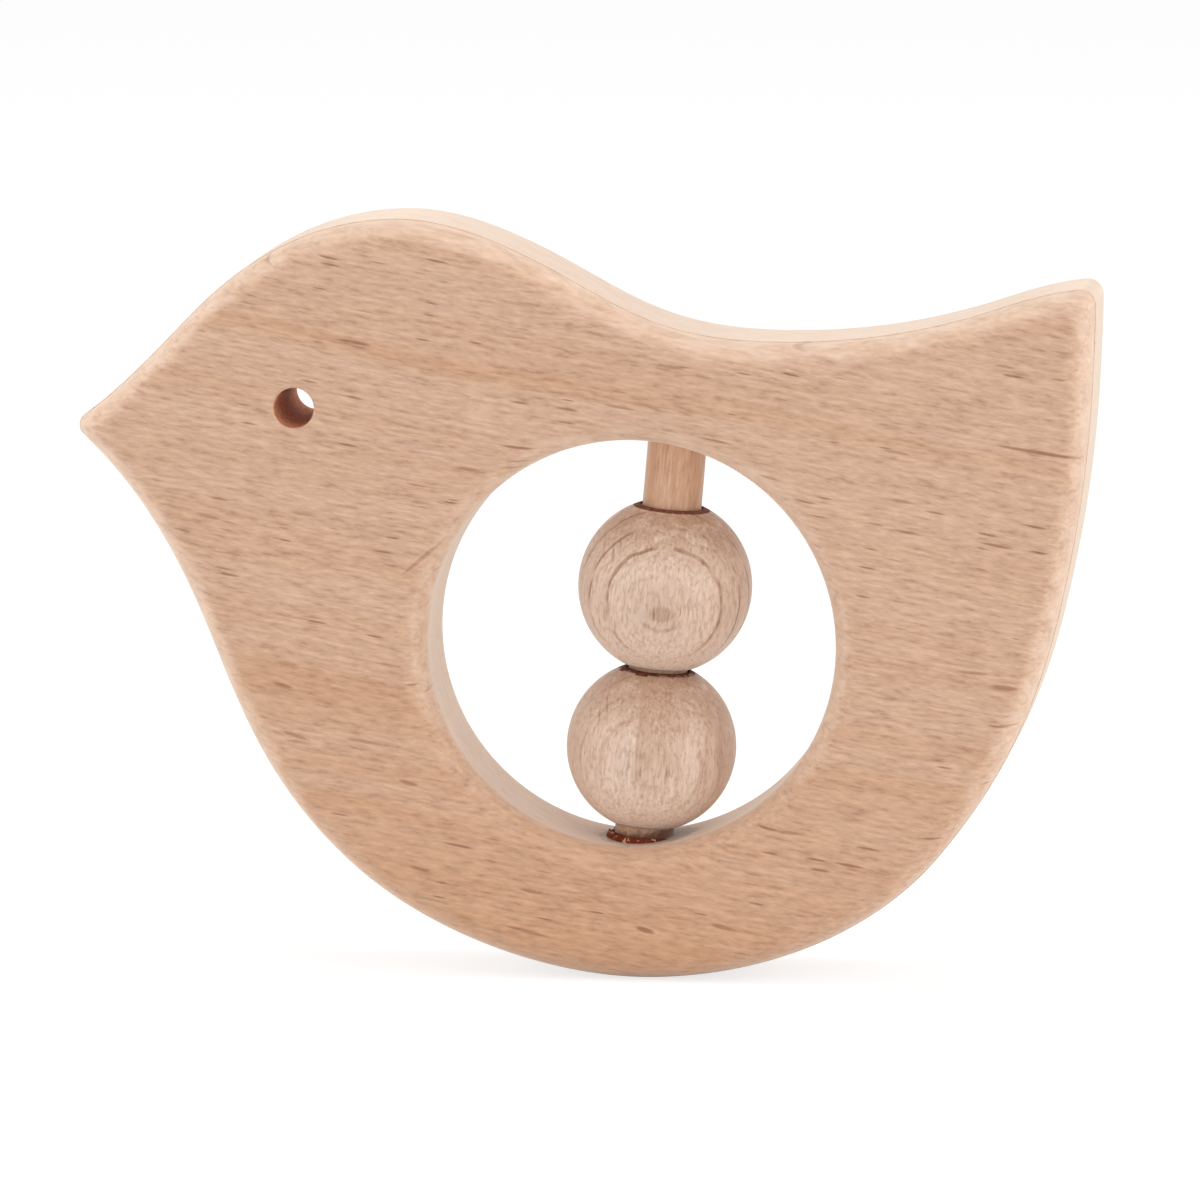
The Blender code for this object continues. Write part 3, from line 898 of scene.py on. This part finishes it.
# What each colour of a wood is called and what it is for
COLORS = {
    "pale": ("Early wood", "Colour of the early wood"),
    "ripe": ("Late wood", "Colour of the late wood"),
    "middle_tint": ("Middle tint", "What an average fibre makes of the wood's colour"),
    "dark_tint": ("Dark tint", "What the darkest fibre makes of the wood's colour"),
    "mottle_tint": ("Mottle tint", "What the curl makes of the wood's colour"),
    "fleck_tint": ("Fleck tint", "What a ray fleck makes of the wood's colour"),
    "bold_tint": ("Bold fleck tint", "What a thick ray fleck makes of the wood's colour"),
    "line_tint": ("Ring tint", "What the end of a year makes of the wood's colour"),
    # The rubbed tint darkens the wood round the beads' bores
    "bore_edge_tint": ("Rubbed tint", "What the dowel makes of the wood's colour at the bore"),
    # The foot tint is painted shade under the lower bead
    "foot_shade_tint": ("Foot tint", "What scorched dust makes of the wood's colour at the foot"),
    # Sawn walls: partly paler wood, partly painted glare. Sanded rims: painted light on the rims.
    "sawn": ("Sawn walls", "Colour of the sawn and sanded walls"),
    "sanded": ("Sanded rims", "Colour of the freshly sanded rims"),
    "scorch": ("Scorched bores", "Colour of the wood in the bores"),
    "scorch_dark": ("Burnt marks", "Colour of the darkest marks in the bores"),
    # The scorch tint also paints shade under the lower bead
    "scorch_and_shade_tint": ("Scorch tint", "What the drill's heat makes of the wood's colour"),
}


def wood_color(kind, default):
    name, description = COLORS[kind]
    return FloatVectorProperty(
        name=name, description=description, default=default, subtype="COLOR_GAMMA", min=0.0, max=1.0
    )


def direction_setting(name, description, default):
    return FloatVectorProperty(name=name, description=description, default=default, subtype="DIRECTION")


def number_setting(name, description, default, low=0.0, **more):
    return FloatProperty(name=name, description=description, default=default, min=low, **more)


def share_setting(name, description, default, high=1.0):
    return number_setting(name, description, default, max=high, subtype="FACTOR")


def fleck_setting(default):
    return share_setting("Flecks", "Share of places that have a ray fleck", default)


def sheen_setting(default):
    return share_setting("Sheen", "Soft sheen of sanded fibres", default)


def length_setting(name, description, default, low=0.0):
    """A length, given here in millimetres."""
    return number_setting(name, description, default * MM, low * MM, unit="LENGTH")


def angle_setting(name, description, default):
    """An angle, given here in degrees."""
    return number_setting(name, description, math.radians(default), -math.pi, subtype="ANGLE")


class BoardSettings(PropertyGroup):
    round_over: length_setting("Round-over", "Radius of the rims", 2.8, 0.5)
    shoulder: length_setting("Shoulder", "Step that the router left below the wall", 0.10)
    sanding_spread: share_setting("Sanding spread", "How much the rims' width varies", 0.22, 0.5)
    sanding_length: length_setting("Sanding length", "Length over which the rims' width varies", 6.0, 1.0)
    eye_chamfer: length_setting("Eye chamfer", "Chamfer round the drilled eye", 0.2)
    burr_width: length_setting("Burr width", "How far round the dowel the drill pushed fibres up", 1.3, 0.2)
    burr_height: length_setting("Burr height", "How high the drill pushed fibres up", 0.42, 0.05)
    grain_slope: angle_setting("Grain slope", "How far the grain runs down towards the tail", 9.5)
    ring_tilt: angle_setting("Ring tilt", "Angle between the growth rings and the board's faces", 20.0)
    fleck_share: fleck_setting(0.42)
    bold_share: share_setting("Bold flecks", "Share of places that have a thick ray fleck", 0.22)
    sheen: sheen_setting(0.8)
    pale: wood_color("pale", (0.893, 0.736, 0.616))
    ripe: wood_color("ripe", (0.855, 0.660, 0.502))
    middle_tint: wood_color("middle_tint", (0.930, 0.910, 0.906))
    dark_tint: wood_color("dark_tint", (0.795, 0.725, 0.670))
    fleck_tint: wood_color("fleck_tint", (0.780, 0.680, 0.600))
    bold_tint: wood_color("bold_tint", (0.770, 0.650, 0.560))
    # Sawn walls: partly paler wood, partly painted glare. Sanded rims: painted light on the rims.
    sawn: wood_color("sawn", (0.940, 0.845, 0.770))
    sanded: wood_color("sanded", (0.965, 0.850, 0.752))
    scorch: wood_color("scorch", (0.940, 0.735, 0.585))
    scorch_dark: wood_color("scorch_dark", (0.840, 0.560, 0.410))
    # The scorch tint also paints shade under the lower bead
    scorch_and_shade_tint: wood_color("scorch_and_shade_tint", (0.530, 0.335, 0.250))


class DowelSettings(PropertyGroup):
    fleck_share: fleck_setting(0.45)
    sheen: sheen_setting(1.0)
    pale: wood_color("pale", (0.925, 0.750, 0.610))
    ripe: wood_color("ripe", (0.880, 0.690, 0.535))
    middle_tint: wood_color("middle_tint", (0.930, 0.910, 0.906))
    dark_tint: wood_color("dark_tint", (0.800, 0.740, 0.700))
    fleck_tint: wood_color("fleck_tint", (0.800, 0.710, 0.640))
    # The foot tint is painted shade under the lower bead
    foot_shade_tint: wood_color("foot_shade_tint", (0.520, 0.360, 0.300))


class BeadSettings(PropertyGroup):
    bore_clearance: length_setting("Bore clearance", "Room between bore and dowel", 0.2, 0.05)
    end_width: length_setting("End ring", "Width of the flat ring round the bore", 0.15, 0.1)
    # The browned edge is a darker band round the bore's upper end
    dark_edge_width: length_setting("Browned edge", "Width of browned wood round a bore's upper end", 0.45)
    extra_length: length_setting("Extra length", "How much longer than wide a bead is turned", 0.2)
    fibre: direction_setting("Fibres", "Direction in which the fibres run", (0.097, -0.12, 0.98))
    rings_face: direction_setting(
        "Rings face", "Direction that the growth rings face", (0.108, -0.986, -0.132)
    )
    ring_width: number_setting("Ring width", "Width of a growth ring in millimetres", 2.07, 0.5)
    fleck_share: fleck_setting(0.25)
    sheen: sheen_setting(0.6)
    pale: wood_color("pale", (0.952, 0.851, 0.776))
    ripe: wood_color("ripe", (0.800, 0.640, 0.525))
    middle_tint: wood_color("middle_tint", (0.945, 0.930, 0.925))
    dark_tint: wood_color("dark_tint", (0.850, 0.785, 0.730))
    mottle_tint: wood_color("mottle_tint", (0.860, 0.800, 0.745))
    fleck_tint: wood_color("fleck_tint", (0.860, 0.780, 0.715))
    line_tint: wood_color("line_tint", (0.790, 0.690, 0.620))
    # The rubbed tint and the bores' colours darken the wood round the beads' bores
    bore_edge_tint: wood_color("bore_edge_tint", (0.610, 0.430, 0.360))
    scorch: wood_color("scorch", (0.560, 0.350, 0.270))
    scorch_dark: wood_color("scorch_dark", (0.420, 0.230, 0.170))
    # The scorch tint also paints shade under the lower bead
    scorch_and_shade_tint: wood_color("scorch_and_shade_tint", (0.900, 0.850, 0.800))


class StageSettings(PropertyGroup):
    azimuth: angle_setting("Azimuth", "How far the camera stands to the right", 7.4)
    elevation: angle_setting("Elevation", "How far the camera stands above", 8.7)
    distance: length_setting("Distance", "From the camera to the point it looks at", 983.4)
    lens: number_setting("Lens", "Focal length", 300.0, 1.0, unit="CAMERA")
    ambient: number_setting("Ambient", "Strength of the light from all round", 0.62)
    key: number_setting("Key light", "Power of the large soft lamp", 0.8, unit="POWER")
    fill: number_setting("Fill light", "Power of the low lamp in front", 0.67, unit="POWER")
    rim: number_setting("Rim lights", "Power of each lamp beside and above the board", 2.0, unit="POWER")


# Operators


class RATTLE_OT_board(Operator):
    """Model the sanded bird board with its grip hole, eye and dowel bore"""

    bl_idname = "rattle.board"
    bl_label = "Bird Board"

    def execute(self, context):
        looks = context.scene.rattle_board
        board = saw_board(looks)
        rout_rims(board, looks)
        sand_rims(board, looks)
        drill(board, hole_cutter(looks))
        drill(board, eye_cutter(looks))
        drill(board, exit_burr(looks), "UNION")
        drill(board, add_rod(DOWEL_RADIUS + BORE_SLACK, SEAT_TOP, UNDER_BELLY))
        smooth(board, WOOD_CREASE)
        seat(board, "sanded_board", board_wood(looks), "bird", "bird_body")
        give_bore_material(board, bore_wood("board_beech_scorched", looks), lambda face: in_a_bore(face, looks))
        return {"FINISHED"}


class RATTLE_OT_dowel(Operator):
    """Turn the dowel and trim its lower end flush with the belly"""

    bl_idname = "rattle.dowel"
    bl_label = "Dowel"

    def execute(self, context):
        looks = context.scene.rattle_dowel
        dowel = add_rod(DOWEL_RADIUS, SEAT_TOP - END_GAP, UNDER_BELLY)
        drill(dowel, saw_board(context.scene.rattle_board), "INTERSECT")
        smooth(dowel, WOOD_CREASE)
        seat(dowel, "turned_dowel", dowel_wood(looks), "bird", "dowel")
        return {"FINISHED"}


class RATTLE_OT_beads(Operator):
    """Turn and bore the two beads"""

    bl_idname = "rattle.beads"
    bl_label = "Beads"

    def execute(self, context):
        looks = context.scene.rattle_beads
        # The darker material round the beads' bores
        scorched = bore_wood("bead_bore_darkened", looks)
        for bead in BEADS:
            turned, wood = turn_bead(bead, looks), bead_wood(bead, looks)
            seat(turned, "turned_" + bead.node, wood, bead.node, bead.node)
            give_bore_material(turned, scorched, lambda face: at_bead_bore(face.center, bead, looks))
        return {"FINISHED"}


# The stage, in metres, with each rim lamp's way from the middle and its share of their power
LAMP_SIZE = 0.5
RIM_LAMP_DISTANCE = 0.8
RIM_LAMPS = (("left", (-1, 0, 0.3), 1.0), ("right", (1, 0, 0.3), 1.0), ("top", (0, 0, 1), 0.65))
FLOOR_RADIUS = 6.0
FLOOR_GAP = 0.02 * MM
CAMERA_TARGET = Vector((0.959, 0.0, 36.70)) * MM


def add_lamp(name, place, target, power):
    """A round soft lamp that shines at a target."""
    bpy.ops.object.light_add(type="AREA", location=place)
    lamp = bpy.context.object
    lamp.name = name
    lamp.data.shape = "DISK"
    lamp.data.size = LAMP_SIZE
    lamp.data.energy = power
    lamp.rotation_euler = (Vector(target) - Vector(place)).to_track_quat("-Z", "Y").to_euler()


def white_shader(shader, plain, seen):
    """Plain light for the object, and white for the camera and for what mirrors and clear pieces show."""
    path = shader.add("ShaderNodeLightPath")
    eye = path.maths("MAXIMUM", path, path.also("Is Glossy Ray"))
    eye = eye.maths("MAXIMUM", eye, path.also("Is Transmission Ray"))
    return plain + (seen - plain) * eye


class RATTLE_OT_stage(Operator):
    """Lay the pale floor and set the light and the camera"""

    bl_idname = "rattle.stage"
    bl_label = "Stage"

    def execute(self, context):
        looks = context.scene.rattle_stage
        scene = context.scene
        bpy.ops.mesh.primitive_circle_add(
            vertices=64, radius=FLOOR_RADIUS, fill_type="NGON", location=(0, 0, -FLOOR_GAP)
        )
        floor = bpy.context.object
        floor.name = "floor"
        paint, shader = new_shader("floor_white")
        white = white_shader(shader, plain=0.85, seen=0.35)
        matt = shader.add("ShaderNodeBsdfDiffuse", None, {"Color": shader.grey(white)})
        bright = white_shader(shader, plain=0.0, seen=0.74)
        glow = shader.add("ShaderNodeEmission", None, {"Strength": bright})
        both = shader.add("ShaderNodeAddShader", None, {0: matt, 1: glow})
        shader.add("ShaderNodeOutputMaterial", None, {"Surface": both})
        floor.data.materials.append(paint)

        scene.world = bpy.data.worlds.new("white_room")
        scene.world.use_nodes = True
        shader = Shader(scene.world.node_tree)
        light = white_shader(shader, plain=looks.ambient, seen=1.0)
        sky = shader.add("ShaderNodeBackground", None, {"Color": (1, 1, 1, 1), "Strength": light})
        shader.add("ShaderNodeOutputWorld", None, {"Surface": sky})

        middle = (cad_box[0] + cad_box[1]) / 2
        add_lamp("key", middle + Vector((0.35, -0.50, 0.60)), middle, looks.key)
        add_lamp("fill", middle + Vector((0.0, -0.85, 0.10)), middle, looks.fill)
        for name, way, share in RIM_LAMPS:
            place = middle + Vector(way).normalized() * RIM_LAMP_DISTANCE
            add_lamp(name, place, middle, looks.rim * share)

        angle, rise = looks.azimuth, looks.elevation
        back = Vector((math.sin(angle) * math.cos(rise), -math.cos(angle) * math.cos(rise), math.sin(rise)))
        bpy.ops.object.camera_add(location=CAMERA_TARGET + back * looks.distance)
        camera = bpy.context.object
        camera.rotation_euler = (-back).to_track_quat("-Z", "Y").to_euler()
        camera.data.lens = looks.lens
        camera.data.sensor_width = 36.0
        camera.data.clip_start = 0.01
        camera.data.clip_end = 100.0
        scene.camera = camera
        scene.view_settings.view_transform = "Standard"
        return {"FINISHED"}


class RATTLE_PT_panel(Panel):
    """Sidebar panel with the rattle's pieces and settings"""

    bl_idname = "RATTLE_PT_panel"
    bl_label = "Wooden Baby Rattle"
    bl_space_type = "VIEW_3D"
    bl_region_type = "UI"
    bl_category = "Rattle"

    def draw(self, context):
        for operator, settings, name in STEPS:
            box = self.layout.box()
            box.operator(operator.bl_idname)
            for setting in settings.__annotations__:
                box.prop(getattr(context.scene, name), setting)


# Each step's operator, its settings and the settings' name on the scene
STEPS = (
    (RATTLE_OT_board, BoardSettings, "rattle_board"),
    (RATTLE_OT_dowel, DowelSettings, "rattle_dowel"),
    (RATTLE_OT_beads, BeadSettings, "rattle_beads"),
    (RATTLE_OT_stage, StageSettings, "rattle_stage"),
)
CLASSES = (*(settings for _, settings, _ in STEPS), *(operator for operator, _, _ in STEPS), RATTLE_PT_panel)


def register():
    for cls in CLASSES:
        bpy.utils.register_class(cls)
    for _, settings, name in STEPS:
        setattr(bpy.types.Scene, name, PointerProperty(type=settings))


def unregister():
    for _, _, name in STEPS:
        delattr(bpy.types.Scene, name)
    for cls in reversed(CLASSES):
        bpy.utils.unregister_class(cls)


def main():
    """Clear the start-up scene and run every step."""
    register()
    for name in ("Cube", "Light", "Camera"):
        if name in bpy.data.objects:
            bpy.data.objects.remove(bpy.data.objects[name])
    bpy.ops.rattle.board()
    bpy.ops.rattle.dowel()
    bpy.ops.rattle.beads()
    bpy.ops.rattle.stage()


if __name__ == "__main__":
    main()
